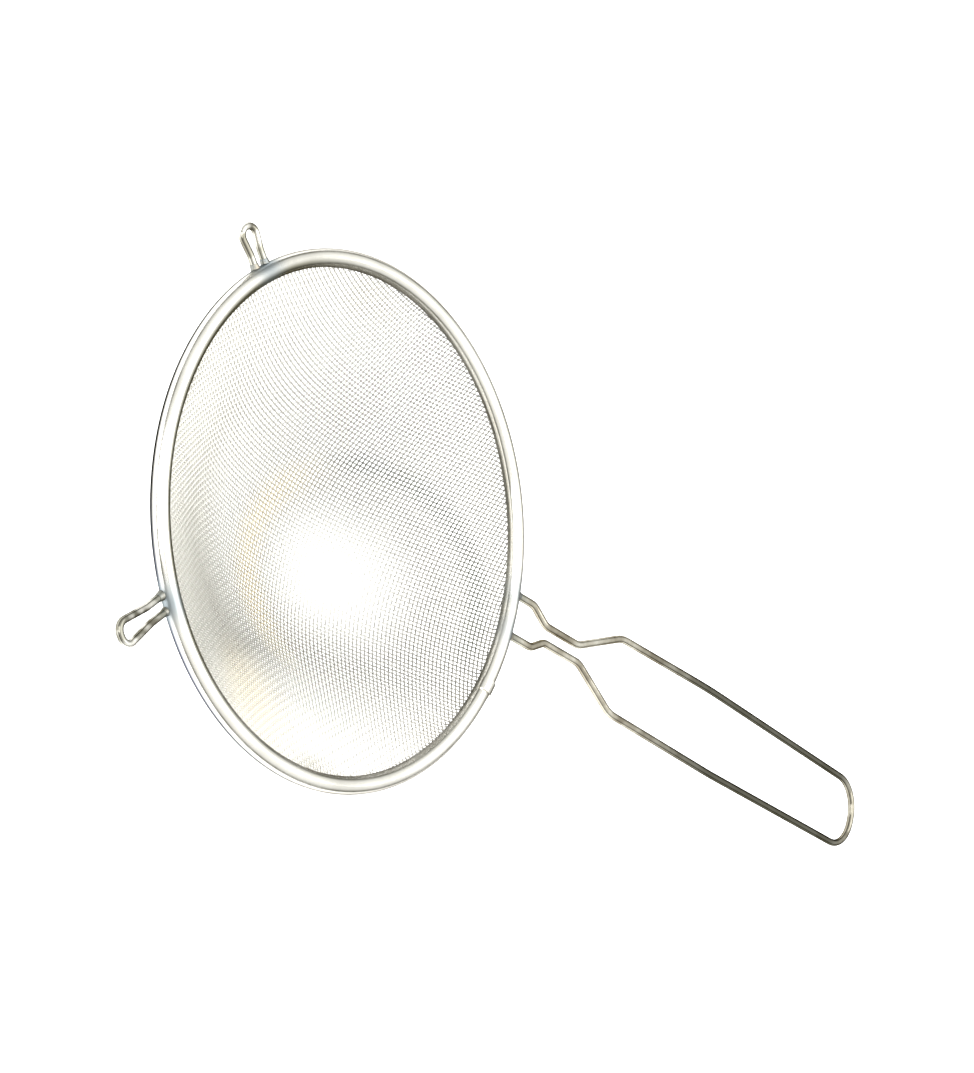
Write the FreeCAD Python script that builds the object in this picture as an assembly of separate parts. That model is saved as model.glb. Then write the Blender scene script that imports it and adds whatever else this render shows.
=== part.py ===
"""Wire tea strainer: a rolled steel hoop that clamps a woven mesh bowl, with a
bent wire handle and two wire ears welded to the outside of the hoop.

Frame: millimetres, +Z up out of the open mouth of the bowl, +X along the
handle, origin at the centre of the hoop, in the plane of its core wire.
"""
import FreeCAD, Part
import math
import os

Vector = FreeCAD.Vector

# ---- driving dimensions (mm and degrees) ----
HOOP_OUTER_RADIUS = 50.0          # outside of the rolled bead
BEAD_RADIUS = 1.7                 # section radius of the rolled bead
STRIP_THICKNESS = 0.35            # sheet that the hoop is rolled from
SKIRT_DEPTH = 0.6                 # how far the skirt hangs below the hoop's centre plane
CURL_END_ANGLE = -116.0           # where the rolled edge stops, measured in the section
CORE_WIRE_RADIUS = 1.0
CORE_CLEARANCE = 0.05
SEAM_AZIMUTH = -20.1              # where the strip's two ends overlap
SEAM_LENGTH = 2.8                 # overlap, measured along the hoop
SEAM_THICKNESS = 0.3
SEAM_START_ANGLE = 165.0          # the overlap goes round the section from here
SEAM_END_ANGLE = -75.0            # to here

MESH_THICKNESS = 0.5              # two crossing wires of the weave
MESH_CLEARANCE = 0.02             # mesh edge to skirt, inside the roll
MESH_TOP = 0.0                    # the mesh edge ends inside the roll
WALL_SLOPE = 34.0                 # slope of the bowl's wall
SHOULDER_RADIUS = 1.8             # bend from the clamped edge into the wall
SHOULDER_HEIGHT = -0.5
BOTTOM_RADIUS = 44.0              # spherical bottom of the bowl

HANDLE_WIRE_RADIUS = 0.8
HANDLE_HEIGHT = -0.3              # the handle lies level, this far below the hoop's centre plane
# corners of the handle's two sides: (distance out from the hoop, half width, bend radius)
HANDLE_LEFT = (
    (5.9, 4.4, 3.5),              # foot bends in
    (10.8, 1.75, 4.0),            # neck starts
    (22.2, 1.75, 5.0),            # neck ends
    (36.2, 8.3, 8.0),             # grip starts
    (70.0, 8.8, 250.0),           # widest place
    (136.2, 7.1, 7.5),            # tip
)
HANDLE_RIGHT = (
    (7.4, 4.0, 3.0),
    (11.2, 1.7, 3.0),
    (23.4, 1.7, 5.0),
    (36.4, 8.1, 8.0),
    (76.0, 8.9, 250.0),
    (136.2, 8.6, 7.5),
)

EAR_WIRE_RADIUS = 0.68
EAR_HEIGHT = -0.4                 # feet of the ears, below the hoop's centre plane
EAR_FOOT_HALF = 1.4               # half the distance between an ear's two feet
EAR_BEND_SHARE = 0.35             # the sides start to spread at this share of the reach
EAR_BEND_RADIUS = 4.0
EAR_END_SHARE = 0.8               # bend radius at the end, as a share of the half width
# where each ear stands on the hoop, how it tilts and turns (degrees), how far it reaches (mm)
EAR_LEFT = {"azimuth": 218.3, "rise": 5.0, "lean": 9.0, "reach": 12.0, "half": 2.3}
EAR_RIGHT = {"azimuth": 137.1, "rise": 0.0, "lean": 0.0, "reach": 7.3, "half": 2.1}

WELD_LENGTH = 0.8                 # weld collar, along the wire
WELD_FLARE = 0.35                 # how much wider than the wire it is at the hoop
WELD_NOSE = 0.06                  # and at its far end

BEAD_CENTRE = HOOP_OUTER_RADIUS - BEAD_RADIUS
FOOT_DEPTH = BEAD_RADIUS          # wires start this far inside the bead before they are trimmed
AXIS_Z = Vector(0, 0, 1)
ORIGIN = Vector(0, 0, 0)


def section_point(radius, angle):
    """Point on a circle round the bead's centre, in the XZ plane."""
    turn = math.radians(angle)
    return Vector(BEAD_CENTRE + radius * math.cos(turn), 0, radius * math.sin(turn))


def section_arc(radius, start, end):
    middle = section_point(radius, (start + end) / 2)
    return Part.Arc(section_point(radius, start), middle, section_point(radius, end)).toShape()


def line(first, second):
    return Part.LineSegment(first, second).toShape()


def revolved(edges):
    """Full turn of a closed outline in the XZ plane about the bowl's axis."""
    face = Part.Face(Part.Wire(edges))
    return face.revolve(ORIGIN, AXIS_Z, 360)


def turned(shape, azimuth):
    copy = shape.copy()
    copy.rotate(ORIGIN, AXIS_Z, azimuth)
    return copy


# ---- hoop ----

def rolled_strip():
    """Skirt, then the strip rolled up, over and back under the core wire."""
    inner = BEAD_RADIUS - STRIP_THICKNESS
    skirt_face = section_point(BEAD_RADIUS, 180).x
    skirt_back = section_point(inner, 180).x
    foot_face = Vector(skirt_face, 0, -SKIRT_DEPTH)
    foot_back = Vector(skirt_back, 0, -SKIRT_DEPTH)
    foot_round = Vector((skirt_face + skirt_back) / 2, 0, -SKIRT_DEPTH - STRIP_THICKNESS / 2)
    edges = [
        line(foot_face, section_point(BEAD_RADIUS, 180)),
        section_arc(BEAD_RADIUS, 180, CURL_END_ANGLE),
        line(section_point(BEAD_RADIUS, CURL_END_ANGLE), section_point(inner, CURL_END_ANGLE)),
        section_arc(inner, CURL_END_ANGLE, 180),
        line(section_point(inner, 180), foot_back),
        Part.Arc(foot_back, foot_round, foot_face).toShape(),
    ]
    return revolved(edges)


def seam_overlap():
    """The strip's second end, lying over the first for a few millimetres."""
    outer = BEAD_RADIUS + SEAM_THICKNESS
    start = SEAM_START_ANGLE
    end = SEAM_END_ANGLE
    edges = [
        section_arc(outer, start, end),
        line(section_point(outer, end), section_point(BEAD_RADIUS, end)),
        section_arc(BEAD_RADIUS, end, start),
        line(section_point(BEAD_RADIUS, start), section_point(outer, start)),
    ]
    span = math.degrees(SEAM_LENGTH / HOOP_OUTER_RADIUS)
    tab = Part.Face(Part.Wire(edges)).revolve(ORIGIN, AXIS_Z, span)
    return turned(tab, SEAM_AZIMUTH - span / 2)


def rim_hoop():
    return rolled_strip().fuse(seam_overlap()).removeSplitter()


def rim_core_wire():
    centre = BEAD_CENTRE + BEAD_RADIUS - STRIP_THICKNESS - CORE_CLEARANCE - CORE_WIRE_RADIUS
    return Part.makeTorus(centre, CORE_WIRE_RADIUS)


# ---- mesh bowl ----

def bowl_side(offset):
    """Edges of one side of the mesh, from the axis up to the clamped edge.

    offset is measured outwards from the middle of the mesh.
    """
    slope = math.radians(WALL_SLOPE)
    band = section_point(BEAD_RADIUS - STRIP_THICKNESS, 180).x + MESH_CLEARANCE + MESH_THICKNESS / 2
    shoulder_x = band - SHOULDER_RADIUS
    wall_top_x = shoulder_x + SHOULDER_RADIUS * math.sin(slope)
    wall_top_z = SHOULDER_HEIGHT - SHOULDER_RADIUS * math.cos(slope)
    wall_foot_x = BOTTOM_RADIUS * math.sin(slope)
    wall_foot_z = wall_top_z - (wall_top_x - wall_foot_x) * math.tan(slope)
    bottom_centre_z = wall_foot_z + BOTTOM_RADIUS * math.cos(slope)

    def bottom(angle):
        radius = BOTTOM_RADIUS + offset
        return Vector(radius * math.sin(angle), 0, bottom_centre_z - radius * math.cos(angle))

    def shoulder(angle):
        radius = SHOULDER_RADIUS + offset
        return Vector(shoulder_x + radius * math.sin(angle), 0, SHOULDER_HEIGHT - radius * math.cos(angle))

    upright = math.pi / 2
    return [
        Part.Arc(bottom(0), bottom(slope / 2), bottom(slope)).toShape(),
        line(bottom(slope), shoulder(slope)),
        Part.Arc(shoulder(slope), shoulder((slope + upright) / 2), shoulder(upright)).toShape(),
        line(shoulder(upright), Vector(shoulder(upright).x, 0, MESH_TOP)),
    ]


def mesh_bowl():
    outer = bowl_side(MESH_THICKNESS / 2)
    inner = bowl_side(-MESH_THICKNESS / 2)
    top = line(outer[-1].Vertexes[-1].Point, inner[-1].Vertexes[-1].Point)
    bottom = line(inner[0].Vertexes[0].Point, outer[0].Vertexes[0].Point)
    return revolved(outer + [top] + list(reversed(inner)) + [bottom])


# ---- bent wires ----

def bent_path(corners):
    """Wire through (point, bend radius) corners: straight runs and tangent arcs."""
    edges = []
    start = corners[0][0]
    for index in range(1, len(corners) - 1):
        before = corners[index - 1][0]
        corner, radius = corners[index]
        after = corners[index + 1][0]
        back = (before - corner).normalize()
        ahead = (after - corner).normalize()
        half_angle = back.getAngle(ahead) / 2
        setback = radius / math.tan(half_angle)
        first = corner + back * setback
        last = corner + ahead * setback
        middle_way = (back + ahead).normalize()
        middle = corner + middle_way * (radius / math.sin(half_angle) - radius)
        edges.append(line(start, first))
        edges.append(Part.Arc(first, middle, last).toShape())
        start = last
    edges.append(line(start, corners[-1][0]))
    return Part.Wire(edges)


def bent_wire(corners, wire_radius):
    path = bent_path(corners)
    start = corners[0][0]
    direction = corners[1][0] - start
    section = Part.Wire(Part.makeCircle(wire_radius, start, direction))
    return path.makePipeShell([section], True, False)


def mirrored(corners):
    """A half outline at +Y, carried round to -Y."""
    other = [(Vector(point.x, -point.y, point.z), radius) for point, radius in reversed(corners)]
    return corners + other


def placed(shape, height, rise, azimuth, lean=0.0):
    """Moves a wire from its own flat frame to the outside of the hoop.

    In the flat frame X is the distance out from the hoop and Y is across.
    """
    copy = shape.copy()
    copy.rotate(ORIGIN, AXIS_Z, lean)
    copy.rotate(ORIGIN, Vector(0, 1, 0), -rise)
    copy.translate(Vector(HOOP_OUTER_RADIUS, 0, height))
    return turned(copy, azimuth)


def bead_envelope():
    """Everything the wires must stop at: the bead as a full ring."""
    return Part.makeTorus(BEAD_CENTRE, BEAD_RADIUS)


def handle_side(corners, side):
    """One side of the handle from its foot to its tip; side is 1 at +Y and -1 at -Y."""
    foot = (Vector(-FOOT_DEPTH, side * corners[0][1], 0), 0)
    return [foot] + [(Vector(out, side * half, 0), bend) for out, half, bend in corners]


def handle_outline():
    return handle_side(HANDLE_LEFT, 1) + list(reversed(handle_side(HANDLE_RIGHT, -1)))


def ear_outline(ear):
    flat = [
        (Vector(-FOOT_DEPTH, EAR_FOOT_HALF, 0), 0),
        (Vector(EAR_BEND_SHARE * ear["reach"], EAR_FOOT_HALF, 0), EAR_BEND_RADIUS),
        (Vector(ear["reach"], ear["half"], 0), EAR_END_SHARE * ear["half"]),
    ]
    return mirrored(flat)


def handle_wire():
    wire = placed(bent_wire(handle_outline(), HANDLE_WIRE_RADIUS), HANDLE_HEIGHT, 0, 0)
    return wire.cut(bead_envelope())


def ear_wire(ear):
    wire = bent_wire(ear_outline(ear), EAR_WIRE_RADIUS)
    wire = placed(wire, EAR_HEIGHT, ear["rise"], ear["azimuth"], ear["lean"])
    return wire.cut(bead_envelope())


# ---- welds ----

def weld_collars(feet, wire_radius, place):
    """A flared collar round each of a wire's two feet, hugging the bead."""
    collars = []
    start = -FOOT_DEPTH / 2
    length = WELD_LENGTH - start
    for across in feet:
        base = Vector(start, across, 0)
        out = Vector(1, 0, 0)
        collar = Part.makeCone(wire_radius + WELD_FLARE, wire_radius + WELD_NOSE, length, base, out)
        bore = Part.makeCylinder(wire_radius, length, base, out)
        collars.append(place(collar.cut(bore)).cut(bead_envelope()))
    return Part.Compound([outermost(collar) for collar in collars])


def outermost(shape):
    """The piece furthest from the bowl's axis, where a cut left more than one."""
    def distance(solid):
        centre = solid.CenterOfMass
        return math.hypot(centre.x, centre.y)
    return max(shape.Solids, key=distance)


def handle_welds():
    def place(shape):
        return placed(shape, HANDLE_HEIGHT, 0, 0)
    return weld_collars((-HANDLE_RIGHT[0][1], HANDLE_LEFT[0][1]), HANDLE_WIRE_RADIUS, place)


def ear_welds(ear):
    def place(shape):
        return placed(shape, EAR_HEIGHT, ear["rise"], ear["azimuth"], ear["lean"])
    return weld_collars((-EAR_FOOT_HALF, EAR_FOOT_HALF), EAR_WIRE_RADIUS, place)


def single(shape):
    """The one solid of a shape that booleans may have wrapped."""
    return max(shape.Solids, key=lambda solid: solid.Volume)


def main():
    os.makedirs("parts", exist_ok=True)
    nodes = {
        "rim_hoop": single(rim_hoop()),
        "rim_core_wire": rim_core_wire(),
        "mesh_bowl": mesh_bowl(),
        "handle_wire": single(handle_wire()),
        "ear_left": single(ear_wire(EAR_LEFT)),
        "ear_right": single(ear_wire(EAR_RIGHT)),
        "handle_welds": handle_welds(),
        "ear_left_welds": ear_welds(EAR_LEFT),
        "ear_right_welds": ear_welds(EAR_RIGHT),
    }
    for name, shape in nodes.items():
        box = shape.BoundBox
        span = (box.XMin, box.XMax, box.YMin, box.YMax, box.ZMin, box.ZMax)
        print(name, "valid", shape.isValid(), "solids", len(shape.Solids), "volume %.1f" % shape.Volume)
        print("    x %.2f %.2f y %.2f %.2f z %.2f %.2f" % span)
        shape.exportStep("parts/" + name + ".step")


main()
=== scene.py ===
"""Looks of the wire tea strainer: woven bowl, rolled hoop, bent wires and welds."""
import math

import bpy
import numpy as np
from mathutils import Matrix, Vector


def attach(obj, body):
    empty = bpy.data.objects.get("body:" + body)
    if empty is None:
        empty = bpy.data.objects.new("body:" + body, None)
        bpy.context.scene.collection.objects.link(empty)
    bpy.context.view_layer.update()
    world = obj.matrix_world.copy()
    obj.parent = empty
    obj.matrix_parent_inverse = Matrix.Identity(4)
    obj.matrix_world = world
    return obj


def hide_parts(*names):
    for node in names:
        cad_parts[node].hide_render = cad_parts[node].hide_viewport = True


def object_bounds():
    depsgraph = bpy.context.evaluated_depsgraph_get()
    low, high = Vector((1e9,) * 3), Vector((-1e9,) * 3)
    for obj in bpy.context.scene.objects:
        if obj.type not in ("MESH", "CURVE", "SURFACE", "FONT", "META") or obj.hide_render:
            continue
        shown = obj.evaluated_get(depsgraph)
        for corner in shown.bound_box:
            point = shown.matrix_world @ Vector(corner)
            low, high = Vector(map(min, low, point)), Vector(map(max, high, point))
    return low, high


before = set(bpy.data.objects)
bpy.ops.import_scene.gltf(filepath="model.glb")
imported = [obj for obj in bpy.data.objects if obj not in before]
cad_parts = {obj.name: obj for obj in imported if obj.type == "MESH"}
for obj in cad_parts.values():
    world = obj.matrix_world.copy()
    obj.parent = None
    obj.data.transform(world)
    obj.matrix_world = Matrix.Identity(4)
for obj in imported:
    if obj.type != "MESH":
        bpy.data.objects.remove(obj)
cad_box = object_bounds()

MM = 0.001

# ---- bowl, the same curve as the middle of the CAD shell (mm and radians) ----
WALL_SLOPE = math.radians(34.0)
BOTTOM_RADIUS = 44.0
BAND_RADIUS = 47.22               # the mesh inside the roll stands upright here
SHOULDER_RADIUS = 1.8
SHOULDER_HEIGHT = -0.5
EDGE_LENGTH = 0.4                 # how far the wires reach up into the roll

SHOULDER_X = BAND_RADIUS - SHOULDER_RADIUS
WALL_TOP_X = SHOULDER_X + SHOULDER_RADIUS * math.sin(WALL_SLOPE)
WALL_TOP_Z = SHOULDER_HEIGHT - SHOULDER_RADIUS * math.cos(WALL_SLOPE)
WALL_FOOT_X = BOTTOM_RADIUS * math.sin(WALL_SLOPE)
WALL_FOOT_Z = WALL_TOP_Z - (WALL_TOP_X - WALL_FOOT_X) * math.tan(WALL_SLOPE)

# ---- distances along the bowl from its lowest point (mm) ----
BOTTOM_ARC = BOTTOM_RADIUS * WALL_SLOPE
WALL_ARC = BOTTOM_ARC + (WALL_TOP_X - WALL_FOOT_X) / math.cos(WALL_SLOPE)
SHOULDER_ARC = WALL_ARC + SHOULDER_RADIUS * (math.pi / 2 - WALL_SLOPE)
EDGE_ARC = SHOULDER_ARC + EDGE_LENGTH

# ---- weave (mm and radians) ----
PITCH = 0.84
WIRE_RADIUS = 0.125
CRIMP = 0.135                     # how far a wire swings off the bowl's middle
CROSSING_SHARE = 0.17             # part of the pitch that lies over each crossing
WEAVE_AZIMUTH = math.radians(-5.0)
WIRE_SIDES = 6
WIRES_EACH_WAY = 74               # more than reach the bowl's edge from its lowest point
EDGE_MARGIN = 2 * PITCH           # crossings wanted past the edge, to close the cells along it
SEARCH_LEAD = 0.1 * PITCH         # the first guess lies this far beyond a flat cell's corner
SEARCH_STEPS = 9                  # the search for a crossing gives up after these
SEARCH_MISS = 1e-8                # and stops when it is this near (square mm)
SEARCH_FLAT = 1e-9                # both neighbours in one line: there is no crossing

# ---- camera (degrees, metres, and mm for the lens) ----
CAMERA_ROLL = 3.95
CAMERA_TILT = 51.3
HANDLE_TURN = -24.26
HOOP_IN_VIEW = (-0.0246, 0.0029, -0.4495)    # the hoop's centre in the camera's own axes
LENS = 82.3

# ---- welds, on the hoop's outside (mm) ----
WELD_PLACES = ((50.0, 4.4), (50.0, -4.0), (-39.2, -31.0), (-36.6, 34.0))
WELD_HALF = 0.6                   # heat marks are at their fullest this near a weld


# ---- woven bowl ----

def bowl_point(arc):
    """Radius, height and slope of the bowl at a distance along it from its lowest point."""
    if arc < BOTTOM_ARC:
        angle = arc / BOTTOM_RADIUS
        drop = BOTTOM_RADIUS * (math.cos(angle) - math.cos(WALL_SLOPE))
        return BOTTOM_RADIUS * math.sin(angle), WALL_FOOT_Z - drop, angle
    if arc < WALL_ARC:
        run = arc - BOTTOM_ARC
        radius = WALL_FOOT_X + run * math.cos(WALL_SLOPE)
        height = WALL_FOOT_Z + run * math.sin(WALL_SLOPE)
        return radius, height, WALL_SLOPE
    if arc < SHOULDER_ARC:
        angle = WALL_SLOPE + (arc - WALL_ARC) / SHOULDER_RADIUS
        radius = SHOULDER_X + SHOULDER_RADIUS * math.sin(angle)
        return radius, SHOULDER_HEIGHT - SHOULDER_RADIUS * math.cos(angle), angle
    return BAND_RADIUS, SHOULDER_HEIGHT + arc - SHOULDER_ARC, math.pi / 2


def on_bowl(arc, azimuth):
    """The bowl's point at a distance along it and an azimuth."""
    radius, height, _ = bowl_point(arc)
    return radius * math.cos(azimuth), radius * math.sin(azimuth), height


def crossing_beyond(first, second, arc, azimuth):
    """The bowl point one pitch from both neighbours, searched from a first guess."""
    for _ in range(SEARCH_STEPS):
        radius, height, slope = bowl_point(arc)
        cos_a = math.cos(azimuth)
        sin_a = math.sin(azimuth)
        point = (radius * cos_a, radius * sin_a, height)
        rise = (math.cos(slope) * cos_a, math.cos(slope) * sin_a, math.sin(slope))
        swing = (-radius * sin_a, radius * cos_a, 0.0)
        rows = []
        for other in (first, second):
            away = [point[k] - other[k] for k in range(3)]
            miss = sum(v * v for v in away) - PITCH * PITCH
            by_arc = 2 * sum(away[k] * rise[k] for k in range(3))
            by_azimuth = 2 * sum(away[k] * swing[k] for k in range(3))
            rows.append((miss, by_arc, by_azimuth))
        (miss_1, arc_1, azimuth_1), (miss_2, arc_2, azimuth_2) = rows
        if abs(miss_1) + abs(miss_2) < SEARCH_MISS:
            return arc, azimuth
        scale = arc_1 * azimuth_2 - azimuth_1 * arc_2
        if abs(scale) < SEARCH_FLAT:
            return None
        arc_step = (azimuth_1 * miss_2 - miss_1 * azimuth_2) / scale
        azimuth_step = (arc_2 * miss_1 - arc_1 * miss_2) / scale
        arc += max(-PITCH, min(PITCH, arc_step))
        azimuth += max(-PITCH / radius, min(PITCH / radius, azimuth_step))
    return None


def starting_wires():
    """The crossings on the two wires that pass through the bowl's lowest point."""
    crossings = {(0, 0): (0.0, WEAVE_AZIMUTH)}
    for turn, (way_u, way_v) in enumerate(((1, 0), (0, 1), (-1, 0), (0, -1))):
        azimuth = WEAVE_AZIMUTH + turn * math.pi / 2
        for count in range(1, WIRES_EACH_WAY):
            crossings[(way_u * count, way_v * count)] = (count * PITCH, azimuth)
    return crossings


def close_cell(corner, side_u, side_v, crossings, points):
    """Adds the far crossing of the cell that starts at a corner, if its other two are there."""
    before_u = (corner[0], corner[1] + side_v)
    before_v = (corner[0] + side_u, corner[1])
    if before_u not in points or before_v not in points:
        return
    first = points[before_u]
    second = points[before_v]
    old = points[corner]
    ahead = [first[k] + second[k] - old[k] for k in range(3)]
    arc = crossings[before_u][0] + crossings[before_v][0] - crossings[corner][0]
    arc = max(arc, crossings[before_u][0], crossings[before_v][0]) + SEARCH_LEAD
    found = crossing_beyond(first, second, arc, math.atan2(ahead[1], ahead[0]))
    if found and found[0] < EDGE_ARC + EDGE_MARGIN:
        key = (corner[0] + side_u, corner[1] + side_v)
        crossings[key] = found
        points[key] = on_bowl(*found)


def weave_crossings():
    """Where the cloth's wires cross once it is pressed into the bowl, every cell side one pitch long."""
    crossings = starting_wires()
    points = {key: on_bowl(*place) for key, place in crossings.items()}
    for side_u, side_v in ((1, 1), (-1, 1), (-1, -1), (1, -1)):
        for i in range(WIRES_EACH_WAY - 1):
            for j in range(WIRES_EACH_WAY - 1):
                close_cell((side_u * i, side_v * j), side_u, side_v, crossings, points)
    return {key: place for key, place in crossings.items() if place[0] < EDGE_ARC}


def wire_line(keys, crossings, side):
    """Points and surface normals of one woven wire, two points for each crossing."""
    middles = np.array([on_bowl(*crossings[key]) for key in keys])
    normals = []
    for key in keys:
        arc, azimuth = crossings[key]
        slope = bowl_point(arc)[2]
        out = math.sin(slope)
        normals.append((-out * math.cos(azimuth), -out * math.sin(azimuth), math.cos(slope)))
    normals = np.array(normals)
    signs = np.array([side if (key[0] + key[1]) % 2 == 0 else -side for key in keys])
    crests = middles + normals * (CRIMP * signs)[:, None]
    back = np.vstack([middles[:1] * 0, middles[:-1] - middles[1:]]) * CROSSING_SHARE
    ahead = np.vstack([middles[1:] - middles[:-1], middles[:1] * 0]) * CROSSING_SHARE
    points = np.stack([crests + back, crests + ahead], axis=1).reshape(-1, 3)
    return points[1:-1], np.repeat(normals, 2, axis=0)[1:-1]


def tube(points, normals):
    """Vertices and faces of a round wire along the points."""
    along = np.gradient(points, axis=0)
    along /= np.linalg.norm(along, axis=1)[:, None]
    across = np.cross(along, normals)
    across /= np.linalg.norm(across, axis=1)[:, None]
    up = np.cross(across, along)
    turns = np.arange(WIRE_SIDES) * 2 * math.pi / WIRE_SIDES
    ring = np.cos(turns)[None, :, None] * up[:, None] + np.sin(turns)[None, :, None] * across[:, None]
    verts = (points[:, None] + WIRE_RADIUS * ring).reshape(-1, 3)
    start = np.arange(len(points) - 1)[:, None] * WIRE_SIDES
    side = np.arange(WIRE_SIDES)[None, :]
    after = (side + 1) % WIRE_SIDES
    beyond = start + WIRE_SIDES
    quads = np.stack([start + side, start + after, beyond + after, beyond + side], axis=2)
    return verts, quads.reshape(-1, 4)


def wires_of(crossings, family):
    """The crossings of each wire of one family, in order along it."""
    wires = {}
    for key in sorted(crossings):
        wires.setdefault(key[1 - family], []).append(key)
    return [sorted(wires[index], key=lambda key: key[family]) for index in sorted(wires)]


def mesh_object(name, parts):
    """One object from a list of (vertices, quads), in mm."""
    verts = []
    quads = []
    count = 0
    for part_verts, part_quads in parts:
        verts.append(part_verts)
        quads.append(part_quads + count)
        count += len(part_verts)
    verts = np.concatenate(verts) * MM
    quads = np.concatenate(quads)
    mesh = bpy.data.meshes.new(name)
    mesh.vertices.add(len(verts))
    mesh.vertices.foreach_set("co", verts.ravel())
    mesh.loops.add(quads.size)
    mesh.loops.foreach_set("vertex_index", quads.ravel().astype(np.int32))
    mesh.polygons.add(len(quads))
    mesh.polygons.foreach_set("loop_start", np.arange(0, quads.size, 4, dtype=np.int32))
    mesh.polygons.foreach_set("use_smooth", np.ones(len(quads), dtype=bool))
    mesh.update(calc_edges=True)
    thing = bpy.data.objects.new(name, mesh)
    bpy.context.scene.collection.objects.link(thing)
    return thing


def woven_bowl(material):
    """Both families of wires, each in two pieces, in place of the CAD shell."""
    crossings = weave_crossings()
    for family, label in ((0, "warp"), (1, "weft")):
        side = 1 if family == 0 else -1
        lines = [wire_line(keys, crossings, side) for keys in wires_of(crossings, family) if len(keys) > 2]
        half = len(lines) // 2
        for number, group in enumerate((lines[:half], lines[half:])):
            cloth = mesh_object("bowl_" + label + "_" + str(number), [tube(*line) for line in group])
            cloth.data.materials.append(material)
            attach(cloth, "root")
            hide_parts("mesh_bowl")


# ---- materials ----

def fill_ramp(node, stops):
    """Gives a colour ramp its stops, each a position and a colour."""
    elements = node.color_ramp.elements
    while len(elements) < len(stops):
        elements.new(0.5)
    for element, (position, colour) in zip(elements, stops):
        element.position = position
        element.color = (*colour, 1.0)


DARK_EDGE_TINT = (0.06, 0.05, 0.04, 1.0)    # what bright metal shows at a grazing angle


class Shading:
    """A metal material and short names for adding nodes to it."""

    def __init__(self, name, roughness):
        self.material = bpy.data.materials.new(name)
        self.material.use_nodes = True
        self.tree = self.material.node_tree
        self.shader = self.tree.nodes["Principled BSDF"]
        self.shader.inputs["Metallic"].default_value = 1.0
        self.shader.inputs["Roughness"].default_value = roughness
        self.shader.inputs["Specular Tint"].default_value = DARK_EDGE_TINT
        self.place = self.add("ShaderNodeTexCoord").outputs["Object"]

    def add(self, kind, **settings):
        node = self.tree.nodes.new(kind)
        for key, value in settings.items():
            setattr(node, key, value)
        return node

    def feed(self, socket, value):
        if isinstance(value, (int, float, tuple)):
            socket.default_value = value
        else:
            self.tree.links.new(value, socket)

    def maths(self, operation, first, second=0.0):
        node = self.add("ShaderNodeMath", operation=operation)
        self.feed(node.inputs[0], first)
        self.feed(node.inputs[1], second)
        return node.outputs[0]

    def times(self, first, second):
        return self.maths("MULTIPLY", first, second)

    def spread(self, value, low, high, to_low, to_high):
        """Value from low..high mapped smoothly onto to_low..to_high."""
        node = self.add("ShaderNodeMapRange", interpolation_type="SMOOTHSTEP")
        for index, item in enumerate((value, low, high, to_low, to_high)):
            self.feed(node.inputs[index], item)
        return node.outputs[0]

    def over(self, length, span, to_low, to_high):
        """A length taken over a span (mm), mapped smoothly onto to_low..to_high."""
        low, high = span
        return self.spread(length, low * MM, high * MM, to_low, to_high)

    def noise(self, scale, detail, vector=None):
        node = self.add("ShaderNodeTexNoise")
        self.feed(node.inputs["Vector"], vector or self.place)
        node.inputs["Scale"].default_value = scale
        node.inputs["Detail"].default_value = detail
        return node.outputs["Fac"]

    def ramp(self, value, stops):
        node = self.add("ShaderNodeValToRGB")
        self.feed(node.inputs["Fac"], value)
        fill_ramp(node, stops)
        return node.outputs["Color"]

    def blend(self, amount, first, second):
        """The first colour where amount is 0 and the second where it is 1."""
        node = self.add("ShaderNodeMix", data_type="RGBA")
        self.feed(node.inputs["Factor"], amount)
        self.feed(node.inputs["A"], first)
        self.feed(node.inputs["B"], second)
        return node.outputs["Result"]

    def xyz(self):
        node = self.add("ShaderNodeSeparateXYZ")
        self.feed(node.inputs[0], self.place)
        return node.outputs

    def vector(self, x, y, z):
        node = self.add("ShaderNodeCombineXYZ")
        for index, item in enumerate((x, y, z)):
            self.feed(node.inputs[index], item)
        return node.outputs[0]

    def bump(self, height, strength, distance):
        node = self.add("ShaderNodeBump")
        node.inputs["Strength"].default_value = strength
        node.inputs["Distance"].default_value = distance
        self.feed(node.inputs["Height"], height)
        self.feed(self.shader.inputs["Normal"], node.outputs[0])

    def distance_to(self, x, y):
        """Distance from a point of the hoop's centre plane, in metres."""
        node = self.add("ShaderNodeVectorMath", operation="DISTANCE")
        self.feed(node.inputs[0], self.place)
        self.feed(node.inputs[1], (x * MM, y * MM, 0.0))
        return node.outputs["Value"]

    def flat_distance(self, x, y):
        """Distance from an upright line at x, y (mm), in metres."""
        own_x, own_y, _ = self.xyz()
        away_x = self.maths("SUBTRACT", own_x, x * MM)
        away_y = self.maths("SUBTRACT", own_y, y * MM)
        square_x = self.times(away_x, away_x)
        square_y = self.times(away_y, away_y)
        return self.maths("SQRT", self.maths("ADD", square_x, square_y))

    def ring(self, distance, radius, width):
        """1 at radius (mm), falling to 0 at width either side of it."""
        away = self.maths("ABSOLUTE", self.maths("SUBTRACT", distance, radius * MM))
        return self.over(away, (0.0, width), 1.0, 0.0)

    def near_welds(self, reach):
        """1 at the welds, falling to 0 at reach (mm) from them."""
        nearest = None
        for x, y in WELD_PLACES:
            distance = self.distance_to(x, y)
            nearest = distance if nearest is None else self.maths("MINIMUM", nearest, distance)
        return self.over(nearest, (WELD_HALF, reach), 1.0, 0.0)

    def colour(self, value):
        self.feed(self.shader.inputs["Base Color"], value)

    def roughness(self, value):
        self.feed(self.shader.inputs["Roughness"], value)


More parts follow.
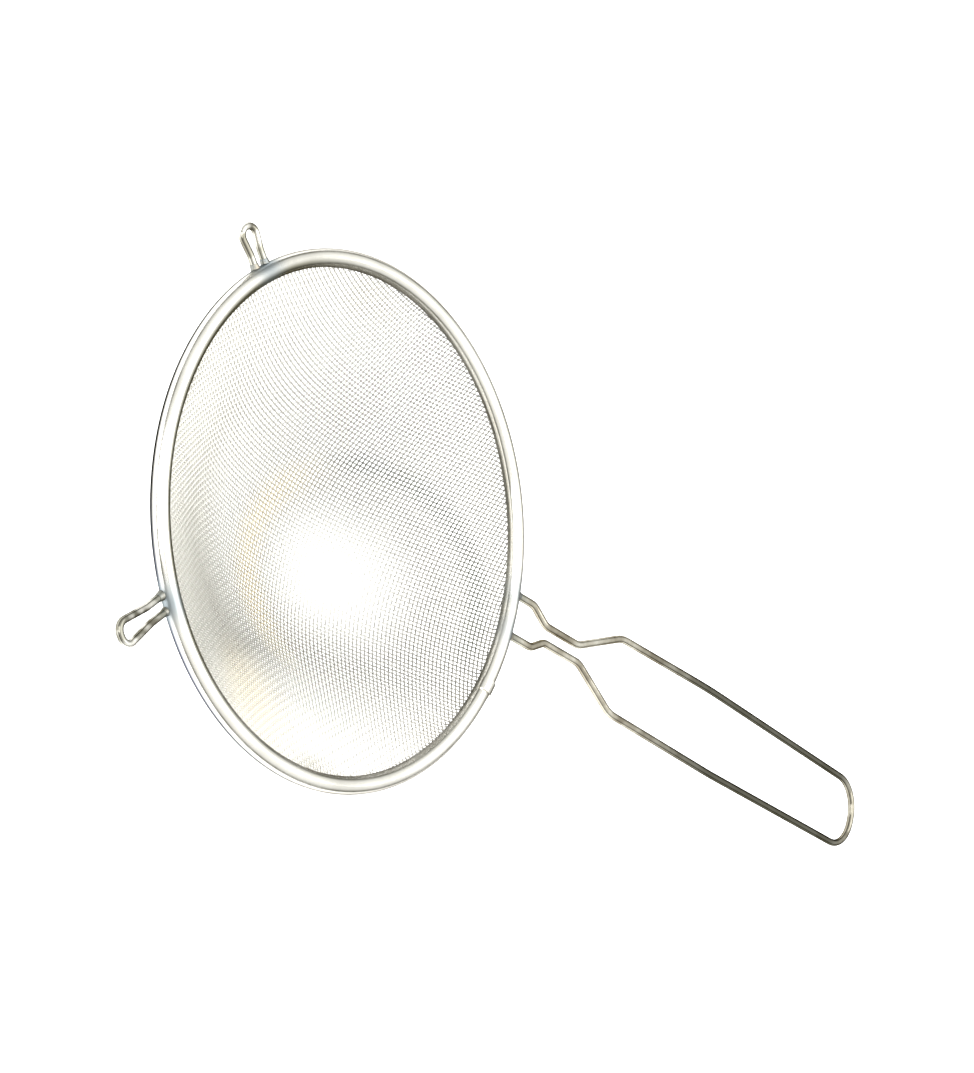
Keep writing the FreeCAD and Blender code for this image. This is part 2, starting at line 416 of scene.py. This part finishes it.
def round_the_hoop(shading, lengthwise, crosswise):
    """Coordinates that run round the hoop, for marks drawn out along the strip."""
    x, y, z = shading.xyz()
    radius = shading.flat_distance(0.0, 0.0)
    azimuth = shading.maths("ARCTAN2", y, x)
    return shading.vector(shading.times(azimuth, lengthwise),
                          shading.times(radius, crosswise),
                          shading.times(z, crosswise))


# ---- hoop: colours are linear, spans are in mm ----
SMUDGED_STRIP = (
    (0.3, (0.70, 0.685, 0.63)),
    (0.55, (0.84, 0.825, 0.77)),
    (0.8, (0.9, 0.885, 0.83)),
)
# painted shade: the hoop's underside, strongest on its outer part, near black and bluish grey towards -Y
UNDERSIDE_SHADE_DARK = (0.015, 0.015, 0.017, 1.0)
UNDERSIDE_SHADE_BLUE = (0.16, 0.18, 0.23, 1.0)
UNDERSIDE_SHADE_HEIGHT = (-0.4, 0.4)      # full under this span, gone above it
UNDERSIDE_SHADE_RADIUS = (48.0, 49.0)     # weak inside this span, full outside it
BLUE_SIDE = (-36.0, -12.0)        # along Y
INSIDE_REFLECTION_COLOUR = (0.2, 0.19, 0.12, 1.0)
INSIDE_REFLECTION_RADIUS = (47.5, 48.5)      # painted dark olive reflection on the face of the hoop's inside
INSIDE_REFLECTION_SIDE = (-36.0, -10.0)      # along X
STRIP_HEAT = (0.3, 0.34, 0.36, 1.0)
STRIP_HEAT_REACH = 6.5


def strip_material():
    """Bright rolled strip: fine rolling lines, smudges, painted shade underneath, a painted dark
    reflection on the inside face and heat marks by the welds.
    """
    shading = Shading("rolled_strip_steel", 0.2)
    lines = shading.noise(1.0, 4.0, round_the_hoop(shading, 14.0, 5200.0))
    smudge = shading.noise(70.0, 4.0)
    steel = shading.ramp(smudge, SMUDGED_STRIP)
    x, y, z = shading.xyz()
    from_axis = shading.flat_distance(0.0, 0.0)
    # painted dark olive reflection on the near side of the hoop's inside face
    inside_reflection = shading.times(shading.over(from_axis, INSIDE_REFLECTION_RADIUS, 0.85, 0.0),
                           shading.over(x, INSIDE_REFLECTION_SIDE, 1.0, 0.0))
    steel = shading.blend(inside_reflection, steel, INSIDE_REFLECTION_COLOUR)
    # painted shade under the hoop, near black, bluish grey towards -Y
    underside_shade = shading.times(shading.over(z, UNDERSIDE_SHADE_HEIGHT, 0.96, 0.0),
                            shading.over(from_axis, UNDERSIDE_SHADE_RADIUS, 0.35, 1.0))
    tone = shading.blend(shading.over(y, BLUE_SIDE, 1.0, 0.0), UNDERSIDE_SHADE_DARK, UNDERSIDE_SHADE_BLUE)
    steel = shading.blend(underside_shade, steel, tone)
    heat = shading.near_welds(STRIP_HEAT_REACH)
    shading.colour(shading.blend(heat, steel, STRIP_HEAT))
    rough = shading.spread(smudge, 0.3, 0.75, 0.13, 0.3)
    shading.roughness(shading.maths("ADD", rough, shading.times(heat, 0.15)))
    shading.bump(lines, 0.18, 0.00004)
    return shading.material


# ---- bent wires ----
PATCHY_WIRE = (
    (0.36, (0.3, 0.27, 0.21)),
    (0.52, (0.52, 0.49, 0.41)),
    (0.68, (0.74, 0.72, 0.64)),
)
# painted dark reflection along the handle, from 85 mm in X to its round end
HANDLE_DARK_REFLECTION = (0.11, 0.11, 0.09, 1.0)
HANDLE_DARK_START = (85.0, 125.0)        # painted dark reflection, growing along X over this span
HANDLE_DARK_END = (177.0, 184.0)         # and clears again at its round end
# painted highlights and dark reflections: the ears streaked near white and near black
EAR_PAINTED_GLINTS = (
    (0.42, (0.13, 0.13, 0.105)),
    (0.56, (0.9, 0.89, 0.84)),
)
EAR_TIPS = (-45.0, -33.0)         # painted highlights and dark streaks are strongest at the far ends of the ears
EAR_SIDE = (-30.0, -20.0)         # only the ears lie on this side
WIRE_HEAT = (0.36, 0.36, 0.31, 1.0)
WIRE_HEAT_REACH = 5.0


def wire_material():
    """Drawn wire: lengthwise die lines, dull patches, painted highlights and dark reflections in streaks
    on the ears, a painted dark reflection along the handle and heat marks.
    """
    shading = Shading("drawn_wire_steel", 0.22)
    x, y, z = shading.xyz()
    drawn_out = shading.vector(shading.times(x, 60.0), shading.times(y, 3500.0), shading.times(z, 3500.0))
    lines = shading.noise(1.0, 3.0, drawn_out)
    patches = shading.noise(160.0, 4.0)
    steel = shading.ramp(patches, PATCHY_WIRE)
    # painted dark reflection along the handle
    handle_dark_reflection = shading.times(shading.over(x, HANDLE_DARK_START, 0.0, 0.9), shading.over(x, HANDLE_DARK_END, 1.0, 0.45))
    steel = shading.blend(handle_dark_reflection, steel, HANDLE_DARK_REFLECTION)
    # painted highlights and dark reflections in streaks on the ears
    ears = shading.times(shading.over(x, EAR_TIPS, 0.75, 0.3), shading.over(x, EAR_SIDE, 1.0, 0.0))
    painted_ear_glints = shading.ramp(shading.noise(300.0, 1.0), EAR_PAINTED_GLINTS)
    steel = shading.blend(ears, steel, painted_ear_glints)
    heat = shading.near_welds(WIRE_HEAT_REACH)
    shading.colour(shading.blend(heat, steel, WIRE_HEAT))
    shading.roughness(shading.spread(patches, 0.3, 0.75, 0.08, 0.22))
    shading.bump(lines, 0.22, 0.00004)
    return shading.material


# ---- woven bowl ----
MESH_EDGE_TINT = (0.4, 0.39, 0.35, 1.0)
GREY_MESH = (
    (0.3, (0.24, 0.235, 0.21)),
    (0.7, (0.36, 0.35, 0.32)),
)
# painted light: the mesh near white towards -X and towards -Y
PAINTED_LIGHT_MESH = (0.91, 0.9, 0.86, 1.0)
PAINTED_LIGHT_X = (-45.0, 20.0)        # painted light, bright at the low end of either span
PAINTED_LIGHT_Y = (-42.0, -16.0)
# painted highlight: a near-white patch in the middle of the bowl
PAINTED_HIGHLIGHT_MESH = (0.97, 0.96, 0.93, 1.0)
PAINTED_HIGHLIGHT_CENTRE = (18.0, -4.0)
PAINTED_HIGHLIGHT_RADIUS = 20.0
# darker brown towards the hoop, in cloudy patches
DARK_NEAR_HOOP = (0.3, 0.27, 0.2, 1.0)
DARK_NEAR_HOOP_RADIUS = (37.0, 47.0)       # darker towards the hoop

# ---- painted reflections in the bowl (an olive arc and a golden arc) and a warm tea stain ----
REFLECTION_ARCS_CENTRE = (20.0, -4.0)
# painted dark reflection: an olive arc, strongest on the +X +Y side
OLIVE = (0.1, 0.11, 0.085, 1.0)
OLIVE_RADIUS = 23.5
OLIVE_WIDTH = 3.6
OLIVE_SIDE = (22.0, 36.0)         # along X + Y
# painted warm reflection: a golden arc on the -X side
GOLDEN = (0.6, 0.5, 0.28, 1.0)
GOLDEN_RADIUS = 21.5
GOLDEN_WIDTH = 6.0
GOLDEN_SIDE = (0.0, 14.0)         # along X
STAIN = (0.95, 0.8, 0.5, 1.0)
STAIN_CENTRE = (-6.0, -36.0)
STAIN_RADIUS = 14.0


def mesh_material():
    """Fine wire with painted light on one side and a painted highlight patch, and painted reflections in
    an arc: olive to one side and golden to the other.
    """
    shading = Shading("woven_wire_steel", 0.3)
    shading.shader.inputs["Specular Tint"].default_value = MESH_EDGE_TINT
    x, y, _ = shading.xyz()
    cloud = shading.noise(45.0, 4.0)
    grain = shading.noise(900.0, 2.0)
    steel = shading.ramp(grain, GREY_MESH)
    # painted light on one side of the bowl
    painted_light = shading.maths("MAXIMUM", shading.over(x, PAINTED_LIGHT_X, 1.0, 0.0),
                             shading.over(y, PAINTED_LIGHT_Y, 1.0, 0.0))
    steel = shading.blend(painted_light, steel, PAINTED_LIGHT_MESH)
    # painted highlight patch in the middle of the bowl
    painted_highlight = shading.over(shading.flat_distance(*PAINTED_HIGHLIGHT_CENTRE), (0.0, PAINTED_HIGHLIGHT_RADIUS), 1.0, 0.0)
    steel = shading.blend(painted_highlight, steel, PAINTED_HIGHLIGHT_MESH)
    # darker towards the hoop, in cloudy patches
    dark_near_hoop = shading.times(shading.over(shading.flat_distance(0.0, 0.0), DARK_NEAR_HOOP_RADIUS, 0.0, 0.5),
                          shading.spread(cloud, 0.42, 0.62, 0.0, 1.0))
    steel = shading.blend(dark_near_hoop, steel, DARK_NEAR_HOOP)
    shading.colour(stain_and_painted_reflections(shading, steel, x, y))
    shading.roughness(shading.spread(cloud, 0.3, 0.7, 0.24, 0.4))
    shading.bump(grain, 0.15, 0.00002)
    return shading.material


def stain_and_painted_reflections(shading, steel, x, y):
    """The mesh's colour with the painted golden reflection arc, the warm tea stain and the painted olive
    reflection arc over it.
    """
    from_arcs_centre = shading.flat_distance(*REFLECTION_ARCS_CENTRE)
    # painted warm reflection in a golden arc
    golden = shading.times(shading.ring(from_arcs_centre, GOLDEN_RADIUS, GOLDEN_WIDTH),
                           shading.over(x, GOLDEN_SIDE, 0.45, 0.0))
    steel = shading.blend(golden, steel, GOLDEN)
    stain = shading.over(shading.flat_distance(*STAIN_CENTRE), (0.0, STAIN_RADIUS), 0.3, 0.0)
    steel = shading.blend(stain, steel, STAIN)
    # painted dark reflection in an olive arc
    olive = shading.times(shading.ring(from_arcs_centre, OLIVE_RADIUS, OLIVE_WIDTH),
                          shading.over(shading.maths("ADD", x, y), OLIVE_SIDE, 0.0, 0.8))
    return shading.blend(olive, steel, OLIVE)


# ---- welds and hidden wire ----
HEAT_TINTS = (
    (0.3, (0.2, 0.23, 0.25)),
    (0.5, (0.3, 0.3, 0.27)),
    (0.7, (0.4, 0.36, 0.29)),
)
CORE_PATCHES = (
    (0.3, (0.42, 0.42, 0.4)),
    (0.7, (0.62, 0.61, 0.58)),
)


def weld_material():
    """Greyed, slightly rough weld metal with a blue and straw tint."""
    shading = Shading("weld_metal", 0.45)
    lumps = shading.noise(1400.0, 3.0)
    shading.colour(shading.ramp(shading.noise(420.0, 2.0), HEAT_TINTS))
    shading.roughness(shading.spread(lumps, 0.3, 0.7, 0.32, 0.55))
    shading.bump(lumps, 0.5, 0.00012)
    return shading.material


def core_material():
    """Plain dull wire, hidden inside the roll."""
    shading = Shading("core_wire_steel", 0.4)
    patches = shading.noise(200.0, 3.0)
    shading.colour(shading.ramp(patches, CORE_PATCHES))
    shading.roughness(shading.spread(patches, 0.3, 0.7, 0.35, 0.5))
    return shading.material


def paint(names, material):
    """Gives CAD nodes a material."""
    for name in names:
        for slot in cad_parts[name].material_slots:
            slot.link = "OBJECT"
            slot.material = material


# ---- surroundings ----

FLOOR_HALF = 12.0                 # half width, wide enough for the views from above (m)
FLOOR_GAP = 0.0002                # the floor lies this far under the bowl (m)
FLOOR_GLOW = 0.75
OVERHEAD_LIGHT = ((0.1, 0.1, 1.0), 1.2, 9.0)         # place (m), width (m), power (W)
SIDE_LIGHT = ((-0.9, -0.2, 0.55), 0.7, 5.0)
SKY_STOPS = (
    (0.0, (0.12, 0.12, 0.1)),
    (0.2, (0.28, 0.28, 0.25)),
    (0.42, (0.95, 0.95, 0.92)),
    (0.75, (1.25, 1.25, 1.22)),
)


def camera():
    """Looks down on the hoop from the side of its ears, with the handle pointing away."""
    data = bpy.data.cameras.new("camera")
    data.lens = LENS
    data.clip_start = 0.01
    view = Matrix.Rotation(math.radians(CAMERA_ROLL), 4, "Z")
    view = view @ Matrix.Rotation(math.radians(CAMERA_TILT), 4, "Y")
    view = view @ Matrix.Rotation(math.radians(HANDLE_TURN), 4, "Z")
    view = Matrix.Translation(HOOP_IN_VIEW) @ view
    eye = bpy.data.objects.new("camera", data)
    eye.matrix_world = view.inverted()
    bpy.context.scene.collection.objects.link(eye)
    bpy.context.scene.camera = eye


def floor(height):
    """White floor with a little glow of its own, so that it stays white."""
    mesh = bpy.data.meshes.new("floor")
    signs = ((-1, -1), (1, -1), (1, 1), (-1, 1))
    corners = [(x * FLOOR_HALF, y * FLOOR_HALF, height) for x, y in signs]
    mesh.from_pydata(corners, [], [(0, 1, 2, 3)])
    ground = bpy.data.objects.new("floor", mesh)
    bpy.context.scene.collection.objects.link(ground)
    material = bpy.data.materials.new("floor_white")
    material.use_nodes = True
    shader = material.node_tree.nodes["Principled BSDF"]
    shader.inputs["Base Color"].default_value = (0.85, 0.85, 0.85, 1.0)
    shader.inputs["Roughness"].default_value = 0.9
    shader.inputs["Emission Color"].default_value = (1.0, 1.0, 1.0, 1.0)
    shader.inputs["Emission Strength"].default_value = FLOOR_GLOW
    mesh.materials.append(material)


def area_light(name, place, size, power):
    """Square lamp at a place, shining at the middle of the hoop."""
    data = bpy.data.lights.new(name, "AREA")
    data.size = size
    data.energy = power
    light = bpy.data.objects.new(name, data)
    bpy.context.scene.collection.objects.link(light)
    light.location = place
    aim = light.location.normalized()
    light.rotation_euler = aim.to_track_quat("Z", "Y").to_euler()


def sky():
    """White overhead, olive grey near the horizon, so bright metal has something to reflect."""
    world = bpy.data.worlds.new("studio")
    bpy.context.scene.world = world
    world.use_nodes = True
    tree = world.node_tree
    place = tree.nodes.new("ShaderNodeTexCoord")
    split = tree.nodes.new("ShaderNodeSeparateXYZ")
    ramp = tree.nodes.new("ShaderNodeValToRGB")
    tree.links.new(place.outputs["Generated"], split.inputs[0])
    tree.links.new(split.outputs["Z"], ramp.inputs["Fac"])
    fill_ramp(ramp, SKY_STOPS)
    background = tree.nodes["Background"]
    background.inputs["Strength"].default_value = 1.0
    tree.links.new(ramp.outputs["Color"], background.inputs["Color"])


woven_bowl(mesh_material())
drawn_wire = wire_material()
weld_metal = weld_material()
paint(["rim_hoop"], strip_material())
paint(["rim_core_wire"], core_material())
paint(["handle_wire", "ear_left", "ear_right"], drawn_wire)
paint(["handle_welds", "ear_left_welds", "ear_right_welds"], weld_metal)

camera()
floor(cad_box[0][2] - FLOOR_GAP)
sky()
area_light("overhead", *OVERHEAD_LIGHT)
area_light("side", *SIDE_LIGHT)
bpy.context.scene.view_settings.view_transform = "Standard"
